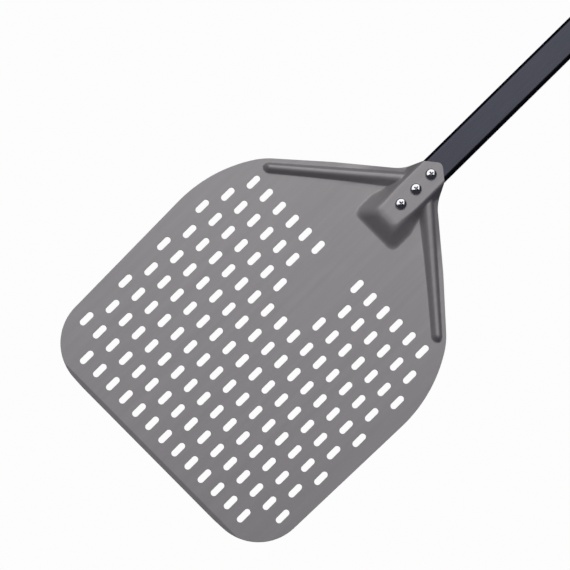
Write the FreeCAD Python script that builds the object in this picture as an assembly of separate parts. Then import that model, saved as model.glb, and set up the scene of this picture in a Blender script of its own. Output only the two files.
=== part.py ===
import FreeCAD, Part
import math
import os

# Perforated pizza peel.  Millimetres, +Z up.
# Origin: middle of the blade, on its underside.  +X runs along the handle to its end, +Y to the left.

HALF_SPACE = 200.0              # half the side of a cutting box larger than the blade

# ---- Blade: outline -----------------------------------------------------------------------------
SHEET = 1.8                     # thickness of the sheet
FRONT_X = -166.4                # straight front edge

# Corners of the left half of the outline as (x, y, rounding radius), from the front edge to the
# tongue that lies on the handle.  The right half mirrors it.
OUTLINE_CORNERS = [
    (FRONT_X, 96.0, 160.0),     # the front edge begins to turn
    (-163.2, 159.6, 54.0),      # front corner
    (89.0, 166.3, 158.0),       # broad shoulder
    (138.4, 136.0, 75.0),       # start of the taper
    (188.0, 82.0, 190.0),       # slight crown of the taper
    (233.4, 28.5, 40.0),        # hollow where the taper meets the neck
    (253.4, 16.0, 5.0),         # corner of the tongue
]
TONGUE_TIP = (266.5, 0.0, 6.0)

# Milled lead-in on the top of the front edge
BEVEL_LENGTH = 4.5
BEVEL_EDGE = 0.65               # thickness left at the very edge

# ---- Blade: perforation -------------------------------------------------------------------------
SLOT_LENGTH = 17.4              # along X, with round ends
SLOT_WIDTH = 6.7
ROW_PITCH = 28.25               # between the rows' middles, along X
COLUMN_PITCH = 9.6              # neighbouring rows are shifted by this much, across
# Each row: its number from the blade's middle, its first column from the centre line, its last
ROWS = [
    (-5, 0, 12),                # shorter, between the rounded front corners
    (-4, 1, 15),
    (-3, 0, 14),
    (-2, 1, 15),
    (-1, 0, 14),
    (0, 1, 15),
    (1, 0, 14),
    (2, 3, 15),                 # the last three leave the middle plain in front of the boss
    (3, 4, 14),
    (4, 3, 13),
]

# ---- Handle tube and what closes it -------------------------------------------------------------
TUBE_WIDTH = 32.0
TUBE_HEIGHT = 16.0
TUBE_CORNER = 5.0
TUBE_WALL = 1.5
TUBE_START_X = 188.0
TUBE_LENGTH = 598.0
TUBE_END_X = TUBE_START_X + TUBE_LENGTH
TUBE_TOP = 18.5                 # it lies against the underside of the blade's boss
TUBE_MID_Z = TUBE_TOP - TUBE_HEIGHT / 2
TUBE_BOTTOM = TUBE_TOP - TUBE_HEIGHT
BORE_GAP = 0.2                  # room round what slides into the tube
BORE_OVERRUN = 1.0              # how far a cutting shape runs past what it cuts

INSERT_GAP_X = 0.5              # between the plug and the tapped insert
INSERT_END_X = 260.0

PLUG_FLANGE = 2.0
PLUG_FLANGE_INSET = 0.2
PLUG_DEPTH = 10.0

# ---- Blade: formed rear -------------------------------------------------------------------------
SEAM_X = 124.5                  # behind this the sheet is formed
SEAM_OVERLAP = 2.0              # the formed surfaces begin this far ahead of the seam
FORM_END_X = 270.0

BOSS_HEIGHT = TUBE_TOP          # rise of the flat top of the boss that covers the handle
BOSS_FOOT_X = 166.8             # foot of its front ramp
BOSS_RAMP = 12.5                # length of the ramp
BOSS_CORNER = 12.0              # softness where ramp and sides meet
BOSS_EDGE = 4.2                 # softness of its top edge
BOSS_FOOT = 3.4                 # softness of its foot
NOSE_LENGTH = 8.5               # the top falls away a little towards the ramp
NOSE_DROP = 1.5
BEND_Y = TUBE_WIDTH / 2 - TUBE_CORNER           # the boss's sides bend round the tube's corners
BEND_RISE = TUBE_TOP - TUBE_CORNER - SHEET
BEND_GAP = 0.1                  # between the sheet's bend and the tube's corner
BEND_RADIUS = TUBE_CORNER + SHEET + BEND_GAP
SIDE_SLOPES = (1.42, 2.5)       # of the boss's sides, at its front and at the neck
SIDE_STEEPENS = (190.0, 216.0)  # where along X they turn from one into the other

BEAD_START = (136.7, 123.7)     # crest of the bead at the shoulder
BEAD_END = (226.1, 21.1)        # and where it has run into the boss
BEAD_HEIGHTS = (6.8, 12.0)      # at its start and its end
BEAD_INNER = (6.8, 10.8)        # from the crest to the foot on the blade's side, start and end
BEAD_OUTER = (5.0, 7.2)         # from the crest to the foot on the edge's side
BEAD_CROWN = 3.0                # how flat its crest is
BEAD_POWERS = (2.0, 1.5)        # fullness of its inner and its outer flank
BEAD_NOSE = 8.0                 # length of its rounded start

MARGIN_PARTS = (0.5, 0.9)       # along the bead, where the margin outside it rises
MARGIN_HEIGHT = 7.0
MARGIN_INNER = 7.0
MARGIN_OUTER = 12.0
MARGIN_FOOT = 1.5
JOIN = 3.0                      # softness where beads, margins and boss meet

STATIONS = 80                   # control points of the formed surfaces, along X
COLUMNS = 141                   # and across
FAN_START = 152.0               # half width that the control points span at the seam
FAN_SLOPE = 1.05                # how fast it narrows
FAN_END = 31.0                  # half width round the neck
NORMAL_STEP = 0.4               # over which the sheet's slope is taken

# ---- Screws -------------------------------------------------------------------------------------
NECK_SCREW_XS = (204.0, 226.5, 249.0)
NECK_SCREW = {
    "radius": 3.0,
    "length": 16.0,
    "head_radius": 6.0,
    "head": 3.6,
    "cross": 6.6,               # across the cross recess
    "arm": 1.5,                 # width of its arms
}
NECK_HOLE_RADIUS = 3.3          # clearance holes in the boss and the tube
NECK_SCREW_TURNS = (0.0, 8.0, -6.0)     # degrees, how each cross recess happens to stand
TIP_CHAMFER = 0.6
# Profile of a pan head, as parts of its radius and of its height
HEAD_RIM = (1.0, 0.25)
HEAD_SIDE = (0.94, 0.6)
HEAD_SHOULDER = (0.8, 0.82)
HEAD_DOME = (0.42, 0.955)
CROSS_TOP = 1.15                # top and floor of the tool that cuts the cross recess
CROSS_FLOOR = 0.35
CROSS_TAPER = 3.0               # how much narrower the recess is at its floor

END_SCREW = {
    "radius": 1.95,
    "length": 10.0,
    "head_radius": 4.0,
    "head": 2.2,
    "cross": 4.2,
    "arm": 1.0,
}
END_SCREW_X = TUBE_END_X - 13.0
END_HOLE_RADIUS = 2.15

# ---- Grip and end cap ---------------------------------------------------------------------------
GRIP_WIDTH = 38.0
GRIP_HEIGHT = 2 * TUBE_MID_Z    # its underside is level with the blade's
GRIP_CORNER = 8.0
GRIP_LENGTH = 128.0
GRIP_START_X = TUBE_END_X - GRIP_LENGTH
GRIP_GAP = 0.1                  # round the tube
GRIP_NOSE = 1.8                 # rounding of its front rim
GROOVES = 10
GROOVE_PITCH = 8.0
GROOVE_WIDTH = 2.4
GROOVE_DEPTH = 0.9
FIRST_GROOVE_X = GRIP_START_X + 20.0
RECESS_RADIUS = 4.6             # for the end screw's head

EYE_X = TUBE_END_X + 15.0       # also the centre of the cap's rounded end
EYE_RADIUS = 6.0
EYE_LEAD = 1.5                  # countersink at each mouth of the eye
SPIGOT_LENGTH = 25.0
PILOT_ROOM = 0.5                # left ahead of the end screw's tip


def vec(x, y, z=0.0):
    return FreeCAD.Vector(x, y, z)


# ---- Plane outlines -----------------------------------------------------------------------------
def rounded_polygon(corners):
    """Closed wire in the XY plane through corners (x, y, radius), each rounded by its own arc."""
    arcs = []
    for k, (x, y, radius) in enumerate(corners):
        corner = vec(x, y)
        back = (vec(*corners[k - 1][:2]) - corner).normalize()
        ahead = (vec(*corners[(k + 1) % len(corners)][:2]) - corner).normalize()
        half_angle = back.getAngle(ahead) / 2
        tangent = radius / math.tan(half_angle)
        bisector = (back + ahead).normalize()
        centre = corner + bisector * (radius / math.sin(half_angle))
        arcs.append((corner + back * tangent, centre - bisector * radius, corner + ahead * tangent))
    edges = []
    for k, (start, middle, end) in enumerate(arcs):
        previous_end = arcs[k - 1][2]
        if previous_end.distanceToPoint(start) > 1e-6:
            edges.append(Part.LineSegment(previous_end, start).toShape())
        edges.append(Part.Arc(start, middle, end).toShape())
    return Part.Wire(edges)


def rounded_bar(width, height, corner, x_from, x_to):
    """Bar along X with a rounded rectangular section, centred on the tube's axis."""
    half_w, half_h = width / 2, height / 2
    corners = [(-half_h, -half_w), (half_h, -half_w), (half_h, half_w), (-half_h, half_w)]
    section = Part.Face(rounded_polygon([(a, b, corner) for a, b in corners]))
    section.rotate(vec(0, 0), vec(0, 1), -90)
    section.translate(vec(x_from, 0, TUBE_MID_Z))
    return section.extrude(vec(x_to - x_from, 0))


def vertical_hole(radius, x, z_from, z_to):
    return Part.makeCylinder(radius, z_to - z_from, vec(x, 0, z_from))


# ---- Height of the formed sheet -----------------------------------------------------------------
def soft_min(a, b, softness):
    overlap = max(softness - abs(a - b), 0.0) / softness
    return min(a, b) - overlap * overlap * softness / 4


def soft_max(a, b, softness):
    return -soft_min(-a, -b, softness)


def smooth_step(x, start, end):
    part = min(max((x - start) / (end - start), 0.0), 1.0)
    return part * part * (3 - 2 * part)


def boss_rise(x, y):
    slope = SIDE_SLOPES[0] + (SIDE_SLOPES[1] - SIDE_SLOPES[0]) * smooth_step(x, *SIDE_STEEPENS)
    side = BEND_RISE + BEND_RADIUS * math.hypot(1, slope) - slope * (abs(y) - BEND_Y)
    ramp = (x - BOSS_FOOT_X) * BOSS_HEIGHT / BOSS_RAMP
    walls = soft_min(side, ramp, BOSS_CORNER)
    nose = min(max(1 - (x - BOSS_FOOT_X - BOSS_RAMP) / NOSE_LENGTH, 0.0), 2.0)
    top = BOSS_HEIGHT - NOSE_DROP * nose * nose
    return soft_max(soft_min(walls, top, BOSS_EDGE), 0.0, BOSS_FOOT)


def from_bead(x, y):
    """Distances along a bead's crest and outside it, and which part of its run that is."""
    run_x, run_y = BEAD_END[0] - BEAD_START[0], BEAD_END[1] - BEAD_START[1]
    run = math.hypot(run_x, run_y)
    from_x, from_y = x - BEAD_START[0], abs(y) - BEAD_START[1]
    along = (from_x * run_x + from_y * run_y) / run
    outward = (from_y * run_x - from_x * run_y) / run
    return along, outward, min(max(along / run, 0.0), 1.0)


def bead_rise(x, y):
    along, outward, part = from_bead(x, y)
    if outward > 0:
        width = BEAD_OUTER[0] + (BEAD_OUTER[1] - BEAD_OUTER[0]) * part
    else:
        width = BEAD_INNER[0] + (BEAD_INNER[1] - BEAD_INNER[0]) * part * part
    height = BEAD_HEIGHTS[0] + (BEAD_HEIGHTS[1] - BEAD_HEIGHTS[0]) * part * part
    offset = math.hypot(outward / width, max(-along, 0.0) / BEAD_NOSE)
    flank = max(1 - offset ** BEAD_CROWN, 0.0)
    return height * flank ** BEAD_POWERS[1 if outward > 0 else 0]


def margin_rise(x, y):
    """Near the neck the sheet falls gently from the bead to its edge."""
    _, outward, part = from_bead(x, y)
    width = MARGIN_OUTER if outward > 0 else MARGIN_INNER
    climb = MARGIN_HEIGHT * smooth_step(part, *MARGIN_PARTS)
    if climb == 0:
        return 0.0
    return soft_max(climb * (1 - abs(outward) / width), 0.0, min(MARGIN_FOOT, climb))


def joined(a, b):
    """The higher of two forms, with a fillet where they meet."""
    return soft_max(a, b, min(JOIN, a, b) + 1e-6)


def rise(x, y):
    """Height of the formed sheet above the flat one."""
    return joined(boss_rise(x, y), joined(bead_rise(x, y), margin_rise(x, y)))


# ---- Blade --------------------------------------------------------------------------------------
def blade_outline():
    right_half = [(x, -y, radius) for x, y, radius in reversed(OUTLINE_CORNERS)]
    return Part.Face(rounded_polygon(OUTLINE_CORNERS + [TONGUE_TIP] + right_half))


def slot(x, y):
    """Prism that cuts one slot."""
    half_l, half_w = SLOT_LENGTH / 2, SLOT_WIDTH / 2
    corners = [(-half_l, -half_w), (half_l, -half_w), (half_l, half_w), (-half_l, half_w)]
    face = Part.Face(rounded_polygon([(x + a, y + b, half_w) for a, b in corners]))
    face.translate(vec(0, 0, -BORE_OVERRUN))
    return face.extrude(vec(0, 0, SHEET + 2 * BORE_OVERRUN))


def slots():
    """Every slot of the staggered rows, mirrored about the centre line."""
    found = []
    for row, first, last in ROWS:
        for column in range(first, last + 1, 2):
            found.append(slot(row * ROW_PITCH, column * COLUMN_PITCH))
            if column:
                found.append(slot(row * ROW_PITCH, -column * COLUMN_PITCH))
    return found


def front_bevel():
    """Wedge that thins the top of the sheet towards the front edge."""
    slope = (SHEET - BEVEL_EDGE) / BEVEL_LENGTH
    start_x, end_x = FRONT_X - BORE_OVERRUN, FRONT_X + BEVEL_LENGTH + BORE_OVERRUN
    top_z = SHEET + slope * BORE_OVERRUN
    low = vec(start_x, -HALF_SPACE, BEVEL_EDGE - slope * BORE_OVERRUN)
    high = vec(end_x, -HALF_SPACE, top_z)
    above = vec(start_x, -HALF_SPACE, top_z)
    return Part.Face(Part.makePolygon([low, high, above, low])).extrude(vec(0, 2 * HALF_SPACE))


def flat_plate():
    plate = blade_outline().extrude(vec(0, 0, SHEET))
    corner = vec(-HALF_SPACE, -HALF_SPACE, -BORE_OVERRUN)
    ahead = Part.makeBox(HALF_SPACE + SEAM_X, 2 * HALF_SPACE, SHEET + 2 * BORE_OVERRUN, corner)
    return plate.common(ahead).cut(slots() + [front_bevel()])


def sheet_normal(x, y):
    step = NORMAL_STEP
    slope_x = (rise(x + step, y) - rise(x - step, y)) / (2 * step)
    slope_y = (rise(x, y + step) - rise(x, y - step)) / (2 * step)
    return vec(-slope_x, -slope_y, 1).normalize()


def control_points():
    """Control points of the formed sheet's top, and of its underside one sheet thickness below."""
    top, bottom = [], []
    start_x = SEAM_X - SEAM_OVERLAP
    for station in range(STATIONS):
        x = start_x + (FORM_END_X - start_x) * station / (STATIONS - 1)
        span = max(FAN_START - FAN_SLOPE * (x - start_x), FAN_END)
        ys = [span * (2 * column / (COLUMNS - 1) - 1) for column in range(COLUMNS)]
        row = [vec(x, y, SHEET + rise(x, y)) for y in ys]
        top.append(row)
        bottom.append([point - sheet_normal(x, y) * SHEET for point, y in zip(row, ys)])
    return top, bottom


def smooth_surface(points):
    """Cubic surface drawn through a grid of control points."""
    counts = (len(points), len(points[0]))
    knots = [list(range(count - 2)) for count in counts]
    repeats = [[4] + [1] * (count - 4) + [4] for count in counts]
    surface = Part.BSplineSurface()
    surface.buildFromPolesMultsKnots(points, *repeats, *knots, False, False, 3, 3)
    return surface.toShape()


def formed_sheet():
    """The embossed rear of the sheet, before it is trimmed to the outline."""
    top, bottom = [smooth_surface(points) for points in control_points()]
    sides = [Part.makeRuledSurface(a, b) for a, b in zip(top.Edges, bottom.Edges)]
    shell = Part.makeShell([top, bottom] + sides)
    shell.sewShape()
    return Part.makeSolid(Part.makeShell(shell.Faces))


def blade():
    outline = blade_outline()
    outline.translate(vec(0, 0, -TUBE_TOP))
    rear = formed_sheet().common(outline.extrude(vec(0, 0, 3 * TUBE_TOP)))
    behind = vec(SEAM_X, -HALF_SPACE, -TUBE_TOP)
    rear = rear.common(Part.makeBox(HALF_SPACE, 2 * HALF_SPACE, 3 * TUBE_TOP, behind))
    sheet = flat_plate().fuse(rear)
    holes = [vertical_hole(NECK_HOLE_RADIUS, x, TUBE_MID_Z, TUBE_TOP + 2 * SHEET) for x in NECK_SCREW_XS]
    return sheet.cut(holes).Solids[0]


# ---- Screws -------------------------------------------------------------------------------------
def cross_recess(screw):
    """Two crossed blades that taper downwards, as a screwdriver's tip."""
    top, floor = CROSS_TOP * screw["head"], CROSS_FLOOR * screw["head"]
    wide, half_arm = screw["cross"] / 2, screw["arm"] / 2
    narrow = wide / CROSS_TAPER
    outline = [(-wide, top), (wide, top), (narrow, floor), (-narrow, floor), (-wide, top)]
    blade_one = Part.Face(Part.makePolygon([vec(x, -half_arm, z) for x, z in outline]))
    blade_one = blade_one.extrude(vec(0, 2 * half_arm))
    blade_two = blade_one.copy()
    blade_two.rotate(vec(0, 0), vec(0, 0, 1), 90)
    return blade_one.fuse(blade_two)


def pan_head_screw(screw, turn=0.0):
    """Stands on its head's underside at z = 0, with its shank pointing down."""
    head_r, head, shank_r = screw["head_radius"], screw["head"], screw["radius"]
    outline = (HEAD_RIM, HEAD_SIDE, HEAD_SHOULDER, HEAD_DOME)
    rim, side, shoulder, dome = [vec(across * head_r, 0, up * head) for across, up in outline]
    crown = vec(0, 0, head)
    edges = [
        Part.LineSegment(vec(0, 0), vec(head_r, 0)),
        Part.LineSegment(vec(head_r, 0), rim),
        Part.Arc(rim, side, shoulder),
        Part.Arc(shoulder, dome, crown),
        Part.LineSegment(crown, vec(0, 0)),
    ]
    profile = Part.Face(Part.Wire([edge.toShape() for edge in edges]))
    domed = profile.revolve(vec(0, 0), vec(0, 0, 1), 360).cut(cross_recess(screw))
    plain = screw["length"] - TIP_CHAMFER
    shank = Part.makeCylinder(shank_r, plain, vec(0, 0), vec(0, 0, -1))
    tip = Part.makeCone(shank_r, shank_r - TIP_CHAMFER, TIP_CHAMFER, vec(0, 0, -plain), vec(0, 0, -1))
    whole = domed.fuse([shank, tip]).removeSplitter()
    whole.rotate(vec(0, 0), vec(0, 0, 1), turn)
    return whole


def neck_screw(x, turn):
    screw = pan_head_screw(NECK_SCREW, turn)
    screw.translate(vec(x, 0, BOSS_HEIGHT + SHEET))
    return screw


def end_screw():
    """Fixes grip, tube and end cap together from below, its head sunk into the grip's wall."""
    screw = pan_head_screw(END_SCREW)
    screw.rotate(vec(0, 0), vec(1, 0), 180)
    screw.translate(vec(END_SCREW_X, 0, TUBE_BOTTOM))
    return screw


# ---- Handle tube and what closes it -------------------------------------------------------------
def tube_bore(x_from, x_to, gap=0.0):
    """The tube's bore, or with a gap what slides into it."""
    shrink = 2 * (TUBE_WALL + gap)
    return rounded_bar(TUBE_WIDTH - shrink, TUBE_HEIGHT - shrink, TUBE_CORNER - shrink / 2, x_from, x_to)


def handle_tube():
    tube = rounded_bar(TUBE_WIDTH, TUBE_HEIGHT, TUBE_CORNER, TUBE_START_X, TUBE_END_X)
    top_z = TUBE_TOP + BORE_OVERRUN
    top_holes = [vertical_hole(NECK_HOLE_RADIUS, x, TUBE_MID_Z, top_z) for x in NECK_SCREW_XS]
    bottom_hole = vertical_hole(END_HOLE_RADIUS, END_SCREW_X, TUBE_BOTTOM - BORE_OVERRUN, TUBE_MID_Z)
    bore = tube_bore(TUBE_START_X - BORE_OVERRUN, TUBE_END_X + BORE_OVERRUN)
    return tube.cut([bore, bottom_hole] + top_holes)


def neck_insert():
    """Tapped bar, drawn up against the top of the bore by the neck screws."""
    bar = tube_bore(TUBE_START_X + PLUG_DEPTH + INSERT_GAP_X, INSERT_END_X, BORE_GAP)
    bar.translate(vec(0, 0, BORE_GAP))
    holes = [vertical_hole(NECK_SCREW["radius"], x, TUBE_BOTTOM, TUBE_TOP) for x in NECK_SCREW_XS]
    return bar.cut(holes)


def mouth_plug():
    flange = rounded_bar(
        TUBE_WIDTH - 2 * PLUG_FLANGE_INSET,
        TUBE_HEIGHT - 2 * PLUG_FLANGE_INSET,
        TUBE_CORNER - PLUG_FLANGE_INSET,
        TUBE_START_X - PLUG_FLANGE,
        TUBE_START_X,
    )
    return flange.fuse(tube_bore(TUBE_START_X, TUBE_START_X + PLUG_DEPTH, BORE_GAP))


# ---- Grip and end cap ---------------------------------------------------------------------------
def grip_groove(x):
    """Ring that cuts one shallow groove all round the grip."""
    end_x, grow, shrink = x + GROOVE_WIDTH, 2 * BORE_OVERRUN, 2 * GROOVE_DEPTH
    outside = rounded_bar(GRIP_WIDTH + grow, GRIP_HEIGHT + grow, GRIP_CORNER, x, end_x)
    corner = GRIP_CORNER - GROOVE_DEPTH
    return outside.cut(rounded_bar(GRIP_WIDTH - shrink, GRIP_HEIGHT - shrink, corner, x, end_x))


def grip_sleeve():
    sleeve = rounded_bar(GRIP_WIDTH, GRIP_HEIGHT, GRIP_CORNER, GRIP_START_X, TUBE_END_X)
    nose = [e for e in sleeve.Edges if e.BoundBox.XMax < GRIP_START_X + 0.01]
    sleeve = sleeve.makeFillet(GRIP_NOSE, nose)
    room = 2 * GRIP_GAP
    around_tube = rounded_bar(
        TUBE_WIDTH + room,
        TUBE_HEIGHT + room,
        TUBE_CORNER + GRIP_GAP,
        GRIP_START_X - BORE_OVERRUN,
        TUBE_END_X + BORE_OVERRUN,
    )
    grooves = [grip_groove(FIRST_GROOVE_X + k * GROOVE_PITCH) for k in range(GROOVES)]
    recess = vertical_hole(RECESS_RADIUS, END_SCREW_X, -BORE_OVERRUN, TUBE_MID_Z)
    return sleeve.cut([around_tube, recess] + grooves)


def end_cap():
    """Continues the grip to a rounded end with a hanging eye, on a spigot inside the tube."""
    body = rounded_bar(GRIP_WIDTH, GRIP_HEIGHT, GRIP_CORNER, TUBE_END_X, EYE_X)
    below_eye = vec(EYE_X, 0, -GRIP_HEIGHT / 2)
    left_half = body.common(Part.makePlane(GRIP_WIDTH, 2 * GRIP_HEIGHT, below_eye, vec(1, 0), vec(0, 1)))
    rounded_end = left_half.Faces[0].revolve(vec(EYE_X, 0), vec(0, 0, 1), -180)
    cap = body.fuse([rounded_end, tube_bore(TUBE_END_X - SPIGOT_LENGTH, TUBE_END_X, BORE_GAP)])
    lead = EYE_LEAD + BORE_OVERRUN
    mouth = EYE_RADIUS + lead
    leads = [
        Part.makeCone(mouth, EYE_RADIUS, lead, vec(EYE_X, 0, -BORE_OVERRUN)),
        Part.makeCone(EYE_RADIUS, mouth, lead, vec(EYE_X, 0, GRIP_HEIGHT - EYE_LEAD)),
    ]
    eye = vertical_hole(EYE_RADIUS, EYE_X, -BORE_OVERRUN, GRIP_HEIGHT + BORE_OVERRUN)
    pilot_top = TUBE_BOTTOM + END_SCREW["length"] + PILOT_ROOM
    pilot = vertical_hole(END_SCREW["radius"], END_SCREW_X, 0, pilot_top)
    return cap.cut(leads + [eye, pilot])


# ---- One STEP file for each piece ---------------------------------------------------------------
pieces = {
    "blade": blade(),
    "handle_tube": handle_tube(),
    "neck_insert": neck_insert(),
    "mouth_plug": mouth_plug(),
    "grip_sleeve": grip_sleeve(),
    "end_cap": end_cap(),
    "end_screw": end_screw(),
}
for number, (x, turn) in enumerate(zip(NECK_SCREW_XS, NECK_SCREW_TURNS), start=1):
    pieces[f"neck_screw_{number}"] = neck_screw(x, turn)

os.makedirs("parts", exist_ok=True)
for name, shape in pieces.items():
    shape.exportStep(f"parts/{name}.step")
    print(f"{name}: {len(shape.Solids)} solid, valid {shape.isValid()}, {shape.Volume:.0f} mm3")
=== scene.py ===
import math
import bpy
import numpy as np
from mathutils import Matrix, Vector
from mathutils.geometry import delaunay_2d_cdt


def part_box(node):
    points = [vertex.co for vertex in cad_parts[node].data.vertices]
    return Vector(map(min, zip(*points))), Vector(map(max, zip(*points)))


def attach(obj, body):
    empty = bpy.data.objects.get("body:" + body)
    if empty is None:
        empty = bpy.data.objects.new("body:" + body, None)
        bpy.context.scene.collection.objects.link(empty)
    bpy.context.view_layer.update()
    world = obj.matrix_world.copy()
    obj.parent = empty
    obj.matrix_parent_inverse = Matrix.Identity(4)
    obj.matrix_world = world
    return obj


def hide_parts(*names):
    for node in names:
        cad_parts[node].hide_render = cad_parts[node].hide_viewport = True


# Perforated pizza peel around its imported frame.  The row frame has its origin in the middle of the
# blade's underside, +X along the handle and +Z up.  Objects are in metres; the blade's own sizes
# below are in millimetres.
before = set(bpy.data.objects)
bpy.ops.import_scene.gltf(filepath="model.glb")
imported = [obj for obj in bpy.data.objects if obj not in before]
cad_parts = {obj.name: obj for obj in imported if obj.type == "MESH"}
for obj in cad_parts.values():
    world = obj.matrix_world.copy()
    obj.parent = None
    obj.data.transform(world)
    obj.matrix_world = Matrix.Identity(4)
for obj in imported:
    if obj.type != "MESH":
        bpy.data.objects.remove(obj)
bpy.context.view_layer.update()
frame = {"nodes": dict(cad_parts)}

MM = 0.001

# ---- Blade: sizes in millimetres ----------------------------------------------------------------
blade_low, blade_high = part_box("blade")
FRONT_X = blade_low.x / MM
SHEET = 1.8                     # thickness
SEAM_X = 124.5                  # behind this the sheet is formed
TIP_X = blade_high.x / MM

# Corners (x, y, rounding radius) of the left half of the outline, from the front to the tongue
OUTLINE_CORNERS = [
    (FRONT_X, 96.0, 160.0),
    (-163.2, 159.6, 54.0),
    (89.0, 166.3, 158.0),
    (138.4, 136.0, 75.0),
    (188.0, 82.0, 190.0),
    (233.4, 28.5, 40.0),
    (253.4, 16.0, 5.0),
]
TONGUE_TIP = (266.5, 0.0, 6.0)
BEVEL_LENGTH = 4.5              # lead-in on the top of the front edge
BEVEL_EDGE = 0.65               # thickness left at the very edge

SLOT_LENGTH = 17.4              # along X, with round ends
SLOT_WIDTH = 6.7
ROW_PITCH = 28.25               # between the rows' middles, along X
COLUMN_PITCH = 9.6              # neighbouring rows are shifted by this much, across
# Each row: its number from the blade's middle, its first column from the centre line, its last
ROWS = [
    (-5, 0, 12),
    (-4, 1, 15),
    (-3, 0, 14),
    (-2, 1, 15),
    (-1, 0, 14),
    (0, 1, 15),
    (1, 0, 14),
    (2, 3, 15),
    (3, 4, 14),
    (4, 3, 13),
]

BOSS_HEIGHT = 18.5              # rise of the flat top of the boss that covers the handle
BOSS_FOOT_X = 166.8             # foot of its front ramp
BOSS_RAMP = 12.5                # length of the ramp
BOSS_CORNER = 12.0              # softness where ramp and sides meet
BOSS_EDGE = 4.2                 # softness of its top edge
BOSS_FOOT = 3.4                 # softness of its foot
NOSE_LENGTH = 8.5               # the top falls away a little towards the ramp
NOSE_DROP = 1.5
BEND_Y = 11.0                   # the boss's sides bend round the tube's upper corners
BEND_RISE = 11.7
BEND_RADIUS = 6.9
SIDE_SLOPES = (1.42, 2.5)       # of the boss's sides, at its front and at the neck
SIDE_STEEPENS = (190.0, 216.0)  # where along X they turn from one into the other

BEAD_START = (136.7, 123.7)     # crest of the bead at the shoulder
BEAD_END = (226.1, 21.1)        # and where it has run into the boss
BEAD_HEIGHTS = (6.8, 12.0)      # at its start and its end
BEAD_INNER = (6.8, 10.8)        # from the crest to the foot on the blade's side, start and end
BEAD_OUTER = (5.0, 7.2)         # from the crest to the foot on the edge's side
BEAD_CROWN = 3.0                # how flat its crest is
BEAD_POWERS = (2.0, 1.5)        # fullness of its inner and its outer flank
BEAD_NOSE = 8.0                 # length of its rounded start

MARGIN_PARTS = (0.5, 0.9)       # along the bead, where the margin outside it rises
MARGIN_HEIGHT = 7.0
MARGIN_INNER = 7.0
MARGIN_OUTER = 12.0
MARGIN_FOOT = 1.5
JOIN = 3.0                      # softness where beads, margins and boss meet
TINY = 1e-6                     # keeps a softness above zero

RIM = 0.25                      # rounding of the sheet's cut edges
RIM_STEPS = 3
CREASE = 0.2                    # half width of the softened line behind the bevel
ARC_STEP = math.radians(3.0)
OUTLINE_STEP = 1.0              # spacing of points along the outline's formed stretch
GRID = 0.9                      # spacing of points where the sheet is formed
GRID_HALF_WIDTH = 150.0
GRID_CLEARANCE = 0.4            # from the loops, in grid spacings
GRID_REACH = 1.5                # how far around a point its bending is looked for, in spacings
BENT = 0.003                    # change of height that counts as bent
CREASE_HALF_LENGTH = 152.0
CREASE_STEP = 1.0
WELD = 1e-7                     # closer points are one
NORMAL_STEP = 0.4               # over which the sheet's slope is taken
SLOT_ARC_STEPS = 14             # for each half-round end of a slot
HOLE_STEPS = 48
NECK_HOLE_RADIUS = 3.3
NECK_SCREWS = [f"neck_screw_{number}" for number in (1, 2, 3)]
RECESS_SHADE_REACH = 0.0025           # metres, reach of the painted shade, as deep as the screws' cross recesses


def middle(node):
    low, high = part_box(node)
    return (low + high) / 2


# ---- Height of the formed sheet -----------------------------------------------------------------
def soft_min(a, b, softness):
    overlap = np.maximum(softness - np.abs(a - b), 0.0) / softness
    return np.minimum(a, b) - overlap * overlap * softness / 4


def soft_max(a, b, softness):
    return -soft_min(-a, -b, softness)


def smooth_step(x, start, end):
    part = np.clip((x - start) / (end - start), 0.0, 1.0)
    return part * part * (3 - 2 * part)


def boss_rise(x, y):
    slope = SIDE_SLOPES[0] + (SIDE_SLOPES[1] - SIDE_SLOPES[0]) * smooth_step(x, *SIDE_STEEPENS)
    side = BEND_RISE + BEND_RADIUS * np.sqrt(1 + slope * slope) - slope * (np.abs(y) - BEND_Y)
    ramp = (x - BOSS_FOOT_X) * BOSS_HEIGHT / BOSS_RAMP
    walls = soft_min(side, ramp, BOSS_CORNER)
    nose = np.clip(1 - (x - BOSS_FOOT_X - BOSS_RAMP) / NOSE_LENGTH, 0.0, 2.0)
    top = BOSS_HEIGHT - NOSE_DROP * nose * nose
    return soft_max(soft_min(walls, top, BOSS_EDGE), 0.0, BOSS_FOOT)


def from_bead(x, y):
    """Distances along a bead's crest and outside it, and which part of its run that is."""
    run_x, run_y = BEAD_END[0] - BEAD_START[0], BEAD_END[1] - BEAD_START[1]
    run = math.hypot(run_x, run_y)
    from_x, from_y = x - BEAD_START[0], np.abs(y) - BEAD_START[1]
    along = (from_x * run_x + from_y * run_y) / run
    outward = (from_y * run_x - from_x * run_y) / run
    return along, outward, np.clip(along / run, 0.0, 1.0)


def bead_rise(x, y):
    along, outward, part = from_bead(x, y)
    inner = BEAD_INNER[0] + (BEAD_INNER[1] - BEAD_INNER[0]) * part * part
    outer = BEAD_OUTER[0] + (BEAD_OUTER[1] - BEAD_OUTER[0]) * part
    height = BEAD_HEIGHTS[0] + (BEAD_HEIGHTS[1] - BEAD_HEIGHTS[0]) * part * part
    width = np.where(outward > 0, outer, inner)
    offset = np.hypot(outward / width, np.maximum(-along, 0.0) / BEAD_NOSE)
    flank = np.maximum(1 - offset ** BEAD_CROWN, 0.0)
    return height * flank ** np.where(outward > 0, BEAD_POWERS[1], BEAD_POWERS[0])


def margin_rise(x, y):
    """Near the neck the sheet falls gently from the bead to its edge."""
    _, outward, part = from_bead(x, y)
    width = np.where(outward > 0, MARGIN_OUTER, MARGIN_INNER)
    climb = MARGIN_HEIGHT * smooth_step(part, *MARGIN_PARTS)
    softness = np.minimum(MARGIN_FOOT, climb) + TINY
    return soft_max(climb * (1 - np.abs(outward) / width), 0.0, softness) * (climb > 0)


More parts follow.
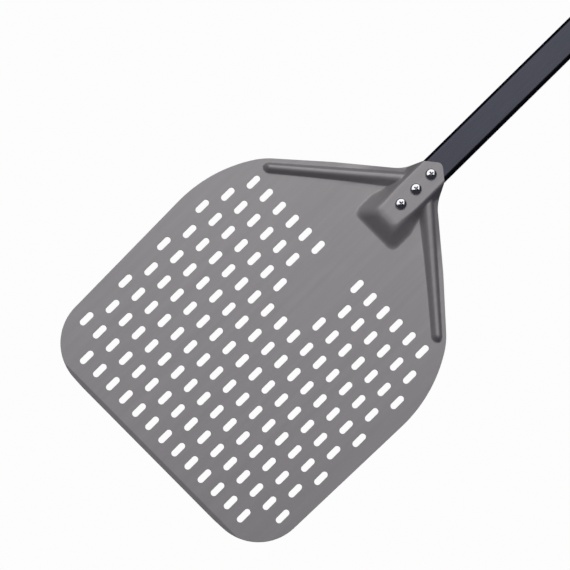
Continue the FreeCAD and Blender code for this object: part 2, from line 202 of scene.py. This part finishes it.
def joined(a, b):
    """The higher of two forms, with a fillet where they meet."""
    return soft_max(a, b, np.minimum(JOIN, np.minimum(a, b)) + TINY)


def rise(x, y):
    """Height of the formed sheet above the flat one."""
    return joined(boss_rise(x, y), joined(bead_rise(x, y), margin_rise(x, y)))


def sheet_normals(x, y):
    step = NORMAL_STEP
    slope_x = (rise(x + step, y) - rise(x - step, y)) / (2 * step)
    slope_y = (rise(x, y + step) - rise(x, y - step)) / (2 * step)
    normals = np.stack([-slope_x, -slope_y, np.ones_like(slope_x)], axis=1)
    return normals / np.linalg.norm(normals, axis=1)[:, None]


# ---- Loops: rows of x, y and the direction out of the metal --------------------------------------
def rounded_loop(corners, line_step):
    """Closed loop through rounded corners, clockwise from above, so that outside is to its left."""
    arcs = []
    for k, (x, y, radius) in enumerate(corners):
        corner = Vector((x, y))
        back = (Vector(corners[k - 1][:2]) - corner).normalized()
        ahead = (Vector(corners[(k + 1) % len(corners)][:2]) - corner).normalized()
        half = back.angle(ahead) / 2
        centre = corner + (back + ahead).normalized() * (radius / math.sin(half))
        turn = -1.0 if back.x * ahead.y - back.y * ahead.x > 0 else 1.0
        start = corner + back * (radius / math.tan(half)) - centre
        sweep = math.pi - 2 * half
        steps = max(2, math.ceil(sweep / min(ARC_STEP, line_step / radius * 1.5)))
        points = []
        for step in range(steps + 1):
            arm = start.copy()
            arm.rotate(Matrix.Rotation(turn * sweep * step / steps, 2))
            outward = arm.normalized() * -turn
            points.append((*(centre + arm), *outward))
        arcs.append(points)
    loop = []
    for k, points in enumerate(arcs):
        last = np.array(arcs[k - 1][-1])
        first = np.array(points[0])
        gap = np.linalg.norm(first[:2] - last[:2])
        pieces = max(1, math.ceil(gap / line_step))
        loop += [last + (first - last) * step / pieces for step in range(1, pieces)]
        loop += [np.array(point) for point in points]
    return np.array(loop)


def slot_loop(x, y):
    """Counter-clockwise round a slot, so that its opening is to the left."""
    radius, straight = SLOT_WIDTH / 2, (SLOT_LENGTH - SLOT_WIDTH) / 2
    loop = []
    for end, start_angle in ((straight, -math.pi / 2), (-straight, math.pi / 2)):
        for step in range(SLOT_ARC_STEPS + 1):
            angle = start_angle + math.pi * step / SLOT_ARC_STEPS
            arm = (math.cos(angle), math.sin(angle))
            loop.append((x + end + radius * arm[0], y + radius * arm[1], -arm[0], -arm[1]))
    return np.array(loop)


def hole_loop(x, radius):
    angles = np.arange(HOLE_STEPS) * 2 * math.pi / HOLE_STEPS
    arm = np.stack([np.cos(angles), np.sin(angles)], axis=1)
    return np.hstack([arm * radius + (x, 0.0), -arm])


def slot_places():
    for row, first, last in ROWS:
        for column in range(first, last + 1, 2):
            yield row * ROW_PITCH, column * COLUMN_PITCH
            if column:
                yield row * ROW_PITCH, -column * COLUMN_PITCH


def inside(points, loop):
    """Which points lie inside a closed loop."""
    within = np.zeros(len(points), bool)
    x, y = points[:, 0], points[:, 1]
    for (x1, y1), (x2, y2) in zip(loop, np.roll(loop, -1, axis=0)):
        if y1 == y2:
            continue
        crosses = (y1 > y) != (y2 > y)
        within ^= crosses & (x < (x2 - x1) * (y - y1) / (y2 - y1) + x1)
    return within


# ---- Blade mesh ---------------------------------------------------------------------------------
def grid_points(outline):
    """Points between the loops: dense where the sheet bends, and along the line behind the bevel."""
    xs = np.arange(SEAM_X, TIP_X, GRID)
    ys = np.arange(0.0, GRID_HALF_WIDTH, GRID)
    ys = np.concatenate([-ys[:0:-1], ys])
    grid = np.array([(x, y) for x in xs for y in ys])
    x, y = grid[:, 0], grid[:, 1]
    reach = GRID_REACH * GRID
    around = [rise(x + a, y + b) for a in (-reach, 0, reach) for b in (-reach, 0, reach)]
    bent = np.max(around, axis=0) - np.min(around, axis=0) > BENT
    crease = []
    ends = CREASE_HALF_LENGTH + CREASE_STEP / 2
    for line in (-CREASE, CREASE):
        row = np.arange(-CREASE_HALF_LENGTH, ends, CREASE_STEP)
        crease += [(FRONT_X + BEVEL_LENGTH + line, y_along) for y_along in row]
    points = np.concatenate([grid[bent], np.array(crease)])
    clear = outline[:, :2] - outline[:, 2:] * (RIM + GRID_CLEARANCE * GRID)
    return points[inside(points, clear)]


def away_from_holes(points, hole_xs):
    clear = NECK_HOLE_RADIUS + RIM + GRID_CLEARANCE * GRID
    for x in hole_xs:
        points = points[np.hypot(points[:, 0] - x, points[:, 1]) > clear]
    return points


def blade_surface(loops, extra):
    """Triangles over the sheet between its loops, with every loop drawn in by the rim's rounding."""
    points = [loop[:, :2] - loop[:, 2:] * RIM for loop in loops]
    starts = np.cumsum([0] + [len(loop) for loop in loops])
    edges = []
    for start, loop in zip(starts, loops):
        edges += [(int(start) + k, int(start) + (k + 1) % len(loop)) for k in range(len(loop))]
    flat = np.concatenate(points + [extra])
    made = delaunay_2d_cdt([Vector(p) for p in flat], edges, [], 1, WELD)
    verts, triangles, origins = np.array([tuple(v) for v in made[0]]), made[2], made[3]
    new_index = {old: new for new, olds in enumerate(origins) for old in olds}
    rings = []
    for start, loop in zip(starts, loops):
        rings.append([new_index[int(start) + k] for k in range(len(loop))])
    return verts, np.array(triangles), rings


def drop_openings(verts, triangles, places, hole_xs):
    """Leaves out the triangles that close the slots and the screw holes."""
    centre = verts[triangles].mean(axis=1)
    keep = np.ones(len(triangles), bool)
    straight = (SLOT_LENGTH - SLOT_WIDTH) / 2
    for x, y in places:
        beyond = np.maximum(np.abs(centre[:, 0] - x) - straight, 0.0)
        keep &= np.hypot(beyond, centre[:, 1] - y) > SLOT_WIDTH / 2
    for x in hole_xs:
        keep &= np.hypot(centre[:, 0] - x, centre[:, 1]) > NECK_HOLE_RADIUS
    return triangles[keep]


def bevel_drop(x):
    return np.clip((FRONT_X + BEVEL_LENGTH - x) / BEVEL_LENGTH, 0.0, 1.0) * (SHEET - BEVEL_EDGE)


def sheet_sides(x, y):
    """Top and bottom points over x, y with their normals."""
    normals = sheet_normals(x, y)
    height = SHEET + rise(x, y)
    top = np.stack([x, y, height - bevel_drop(x)], axis=1)
    bottom = np.stack([x, y, height], axis=1) - normals * SHEET
    top_normals = normals.copy()
    on_bevel = x < FRONT_X + BEVEL_LENGTH - CREASE / 2
    slope = math.atan2(SHEET - BEVEL_EDGE, BEVEL_LENGTH)
    top_normals[on_bevel] = (-math.sin(slope), 0.0, math.cos(slope))
    return top, top_normals, bottom, -normals


def blade_mesh():
    hole_xs = [middle(node).x / MM for node in NECK_SCREWS]
    right_half = [(x, -y, radius) for x, y, radius in reversed(OUTLINE_CORNERS)]
    outline = rounded_loop(OUTLINE_CORNERS + [TONGUE_TIP] + right_half, OUTLINE_STEP)
    places = list(slot_places())
    loops = [outline] + [slot_loop(x, y) for x, y in places]
    loops += [hole_loop(x, NECK_HOLE_RADIUS) for x in hole_xs]
    extra = away_from_holes(grid_points(outline), hole_xs)
    verts, triangles, rings = blade_surface(loops, extra)
    triangles = drop_openings(verts, triangles, places, hole_xs)
    top, top_normals, bottom, bottom_normals = sheet_sides(verts[:, 0], verts[:, 1])
    count = len(verts)
    points, normals = [top, bottom], [top_normals, bottom_normals]
    faces = [tuple(t) for t in triangles] + [tuple(t[::-1] + count) for t in triangles]
    total = 2 * count
    for loop, ring in zip(loops, rings):
        out = np.hstack([loop[:, 2:], np.zeros((len(loop), 1))])
        above, below = np.array(ring), np.array(ring) + count
        for step in range(1, RIM_STEPS + 1):
            angle = math.pi / 2 * step / RIM_STEPS
            for side, base_points, base_normals in ((0, top, top_normals), (1, bottom, bottom_normals)):
                up = base_normals[ring]
                sideways = out * RIM * math.sin(angle)
                points.append(base_points[ring] + sideways - up * RIM * (1 - math.cos(angle)))
                normals.append(out * math.sin(angle) + up * math.cos(angle))
                new = np.arange(total, total + len(ring))
                total += len(ring)
                if side:
                    faces += strip(new, below)
                    below = new
                else:
                    faces += strip(above, new)
                    above = new
        faces += strip(above, below)
    mesh = bpy.data.meshes.new("blade_sheet")
    mesh.from_pydata(np.concatenate(points) * MM, [], faces)
    mesh.polygons.foreach_set("use_smooth", [True] * len(mesh.polygons))
    all_normals = np.concatenate(normals)
    all_normals /= np.linalg.norm(all_normals, axis=1)[:, None]
    mesh.normals_split_custom_set_from_vertices(all_normals)
    return mesh


def strip(upper, lower):
    """Quads between two rings of a loop whose outside is to the left."""
    return [tuple(q) for q in np.stack([upper, np.roll(upper, -1), np.roll(lower, -1), lower], axis=1)]


# ---- Materials ----------------------------------------------------------------------------------
def new_material(name, colour, metallic, roughness):
    material = bpy.data.materials.new(name)
    material.use_nodes = True
    shader = material.node_tree.nodes["Principled BSDF"]
    shader.inputs["Base Color"].default_value = (*colour, 1.0)
    shader.inputs["Metallic"].default_value = metallic
    shader.inputs["Roughness"].default_value = roughness
    return material, shader


def noise(material, scale, detail, stretch=(1.0, 1.0, 1.0)):
    """Noise over the object's own coordinates, scale in cells per metre."""
    nodes, links = material.node_tree.nodes, material.node_tree.links
    place = nodes.new("ShaderNodeTexCoord")
    mapping = nodes.new("ShaderNodeMapping")
    mapping.inputs["Scale"].default_value = stretch
    texture = nodes.new("ShaderNodeTexNoise")
    texture.inputs["Scale"].default_value = scale
    texture.inputs["Detail"].default_value = detail
    links.new(place.outputs["Object"], mapping.inputs["Vector"])
    links.new(mapping.outputs["Vector"], texture.inputs["Vector"])
    return texture.outputs["Fac"]


def spread(material, value, low, high):
    """The value's middle range mapped to low..high."""
    node = material.node_tree.nodes.new("ShaderNodeMapRange")
    node.inputs["From Min"].default_value = 0.3
    node.inputs["From Max"].default_value = 0.7
    node.inputs["To Min"].default_value = low
    node.inputs["To Max"].default_value = high
    material.node_tree.links.new(value, node.inputs["Value"])
    return node.outputs["Result"]


def tint(material, shader, factor, dark, light):
    """Base colour that runs from dark to light with factor."""
    nodes, links = material.node_tree.nodes, material.node_tree.links
    mix = nodes.new("ShaderNodeMix")
    mix.data_type = "RGBA"
    mix.inputs["A"].default_value = (*dark, 1.0)
    mix.inputs["B"].default_value = (*light, 1.0)
    links.new(factor, mix.inputs["Factor"])
    links.new(mix.outputs["Result"], shader.inputs["Base Color"])


def bump(material, shader, height, strength, distance):
    node = material.node_tree.nodes.new("ShaderNodeBump")
    node.inputs["Strength"].default_value = strength
    node.inputs["Distance"].default_value = distance
    material.node_tree.links.new(height, node.inputs["Height"])
    material.node_tree.links.new(node.outputs["Normal"], shader.inputs["Normal"])


def brushed_sheet():
    material, shader = new_material("blade_anodised", (0.43, 0.41, 0.415), 0.22, 0.45)
    fine = noise(material, 1.0, 3.0, (40.0, 1600.0, 1600.0))
    broad = noise(material, 1.0, 2.0, (6.0, 160.0, 160.0))
    material.node_tree.links.new(spread(material, fine, 0.41, 0.5), shader.inputs["Roughness"])
    tint(material, shader, spread(material, broad, 0.0, 1.0), (0.415, 0.394, 0.4), (0.445, 0.424, 0.43))
    bump(material, shader, fine, 0.25, 0.00003)
    return material


def black_anodised():
    material, shader = new_material("handle_anodised", (0.04, 0.0415, 0.0525), 1.0, 0.25)
    grain = noise(material, 1.0, 3.0, (30.0, 1500.0, 1500.0))
    material.node_tree.links.new(spread(material, grain, 0.2, 0.28), shader.inputs["Roughness"])
    bump(material, shader, grain, 0.15, 0.00002)
    return material


def bright_plating():
    """Nickel plating whose colour is darkened by painted shade down in the cross recesses."""
    material, shader = new_material("screw_chrome", (0.46, 0.46, 0.475), 1.0, 0.08)
    # painted shade: an ambient occlusion node darkens the plating's colour towards near black in the
    # cross recesses
    painted_recess_shade = material.node_tree.nodes.new("ShaderNodeAmbientOcclusion")
    painted_recess_shade.inputs["Distance"].default_value = RECESS_SHADE_REACH
    shade_amount = material.node_tree.nodes.new("ShaderNodeMapRange")
    shade_amount.inputs["From Min"].default_value = 0.45
    shade_amount.inputs["From Max"].default_value = 0.95
    material.node_tree.links.new(painted_recess_shade.outputs["AO"], shade_amount.inputs["Value"])
    # the dark colour is painted shade for the recesses, the light one the plating's own colour
    tint(material, shader, shade_amount.outputs["Result"], (0.03, 0.03, 0.035), (0.5, 0.5, 0.515))
    wear = noise(material, 900.0, 3.0)
    material.node_tree.links.new(spread(material, wear, 0.05, 0.12), shader.inputs["Roughness"])
    return material


def sawn_aluminium():
    material, shader = new_material("insert_sawn", (0.6, 0.6, 0.62), 1.0, 0.35)
    cuts = noise(material, 1.0, 3.0, (1500.0, 60.0, 60.0))
    material.node_tree.links.new(spread(material, cuts, 0.3, 0.45), shader.inputs["Roughness"])
    bump(material, shader, cuts, 0.3, 0.00005)
    return material


def moulded(name, colour, roughness, grain_per_metre, shade_amount):
    """Spark-eroded mould texture on a polymer."""
    material, shader = new_material(name, colour, 0.0, roughness)
    grain = noise(material, grain_per_metre, 4.0)
    material.node_tree.links.new(
        spread(material, grain, roughness - 0.06, roughness + 0.06), shader.inputs["Roughness"])
    bump(material, shader, grain, 0.5, shade_amount)
    return material


def paint(obj, material):
    obj.data.materials.clear()
    obj.data.materials.append(material)


# ---- Pieces -------------------------------------------------------------------------------------
def add_piece(name, mesh, slot_name, material, *nodes):
    piece = bpy.data.objects.new(name, mesh)
    bpy.context.scene.collection.objects.link(piece)
    paint(piece, material)
    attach(piece, "root")
    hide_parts(*nodes)
    return piece


add_piece("blade_sheet", blade_mesh(), "blade_sheet", brushed_sheet(), "blade")

nodes = frame["nodes"]
nylon = moulded("nylon_black", (0.02, 0.02, 0.022), 0.5, 2500.0, 0.00005)
rubber = moulded("grip_polymer", (0.03, 0.03, 0.033), 0.6, 1800.0, 0.00008)
chrome = bright_plating()
paint(nodes["handle_tube"], black_anodised())
paint(nodes["neck_insert"], sawn_aluminium())
paint(nodes["mouth_plug"], nylon)
paint(nodes["end_cap"], nylon)
paint(nodes["grip_sleeve"], rubber)
for node in NECK_SCREWS + ["end_screw"]:
    paint(nodes[node], chrome)


# ---- Stage, light and camera --------------------------------------------------------------------
DISC_SIDES = 96
HORIZON = (0.038, 0.038, 0.05, 1.0)
ZENITH = (0.055, 0.055, 0.075, 1.0)


def camera_only(obj):
    for ray in ("diffuse", "glossy", "transmission", "volume_scatter", "shadow"):
        setattr(obj, "visible_" + ray, False)


def white_paper(one_sided):
    """Pale emissive paper, which is clear from behind where it is one-sided."""
    material = bpy.data.materials.new("paper")
    material.use_nodes = True
    tree_nodes, links = material.node_tree.nodes, material.node_tree.links
    tree_nodes.clear()
    glow = tree_nodes.new("ShaderNodeEmission")
    glow.inputs["Color"].default_value = (0.98, 0.98, 0.98, 1.0)
    output = tree_nodes.new("ShaderNodeOutputMaterial")
    if not one_sided:
        links.new(glow.outputs["Emission"], output.inputs["Surface"])
        return material
    clear = tree_nodes.new("ShaderNodeBsdfTransparent")
    side = tree_nodes.new("ShaderNodeNewGeometry")
    mix = tree_nodes.new("ShaderNodeMixShader")
    links.new(side.outputs["Backfacing"], mix.inputs["Fac"])
    links.new(glow.outputs["Emission"], mix.inputs[1])
    links.new(clear.outputs["BSDF"], mix.inputs[2])
    links.new(mix.outputs["Shader"], output.inputs["Surface"])
    return material


def stage_disc(name, radius, z, one_sided):
    angles = [2 * math.pi * k / DISC_SIDES for k in range(DISC_SIDES)]
    rim = [(radius * math.cos(a), radius * math.sin(a), z) for a in angles]
    mesh = bpy.data.meshes.new(name)
    mesh.from_pydata(rim, [], [tuple(range(DISC_SIDES))])
    disc = bpy.data.objects.new(name, mesh)
    bpy.context.scene.collection.objects.link(disc)
    paint(disc, white_paper(one_sided))
    camera_only(disc)
    return disc


def backdrop(radius):
    """A pale dome all round, far behind everything."""
    bpy.ops.mesh.primitive_uv_sphere_add(segments=48, ring_count=24, radius=radius)
    dome = bpy.context.object
    dome.name = "backdrop"
    paint(dome, white_paper(False))
    camera_only(dome)


def world_light():
    """A dark studio world, a little brighter overhead than at the horizon."""
    world = bpy.data.worlds.new("studio")
    bpy.context.scene.world = world
    world.use_nodes = True
    tree_nodes, links = world.node_tree.nodes, world.node_tree.links
    place = tree_nodes.new("ShaderNodeTexCoord")
    split = tree_nodes.new("ShaderNodeSeparateXYZ")
    ramp = tree_nodes.new("ShaderNodeValToRGB")
    stops = ramp.color_ramp.elements
    stops[0].color = HORIZON
    stops[1].color = ZENITH
    links.new(place.outputs["Generated"], split.inputs["Vector"])
    links.new(split.outputs["Z"], ramp.inputs["Fac"])
    links.new(ramp.outputs["Color"], tree_nodes["Background"].inputs["Color"])


def softbox(name, place, aim, size, watts):
    data = bpy.data.lights.new(name, "AREA")
    data.shape = "RECTANGLE"
    data.size, data.size_y = size
    data.energy = watts
    lamp = bpy.data.objects.new(name, data)
    bpy.context.scene.collection.objects.link(lamp)
    lamp.location = place
    lamp.rotation_mode = "QUATERNION"
    lamp.rotation_quaternion = (Vector(aim) - Vector(place)).to_track_quat("-Z", "Y")
    return lamp


CAMERA_PLACE = Vector((-0.7398, -0.1397, 4.509))
CAMERA_RIGHT = Vector((0.70282, -0.70446, 0.09894))
CAMERA_FORWARD = Vector((0.17456, 0.03595, -0.98399))


def camera():
    data = bpy.data.cameras.new("camera")
    data.sensor_width = 36.0
    data.lens = 277.9
    eye = bpy.data.objects.new("camera", data)
    bpy.context.scene.collection.objects.link(eye)
    back = -CAMERA_FORWARD.normalized()
    up = back.cross(CAMERA_RIGHT).normalized()
    right = up.cross(back)
    turn = Matrix((right, up, back)).transposed().to_4x4()
    eye.matrix_world = Matrix.Translation(CAMERA_PLACE) @ turn
    data.clip_start, data.clip_end = 0.1, 200.0
    bpy.context.scene.camera = eye


stage_disc("floor", 40.0, -0.0005, True)
backdrop(60.0)
world_light()
softbox("ceiling", (0.8, 0.8, 2.0), (0.1, 0.0, 0.0), (2.6, 1.9), 30.0)
softbox("under", (0.3, 0.0, -2.0), (0.3, 0.0, 0.0), (2.0, 1.5), 14.0)
camera()
bpy.context.scene.view_settings.view_transform = "Standard"

bpy.context.view_layer.update()
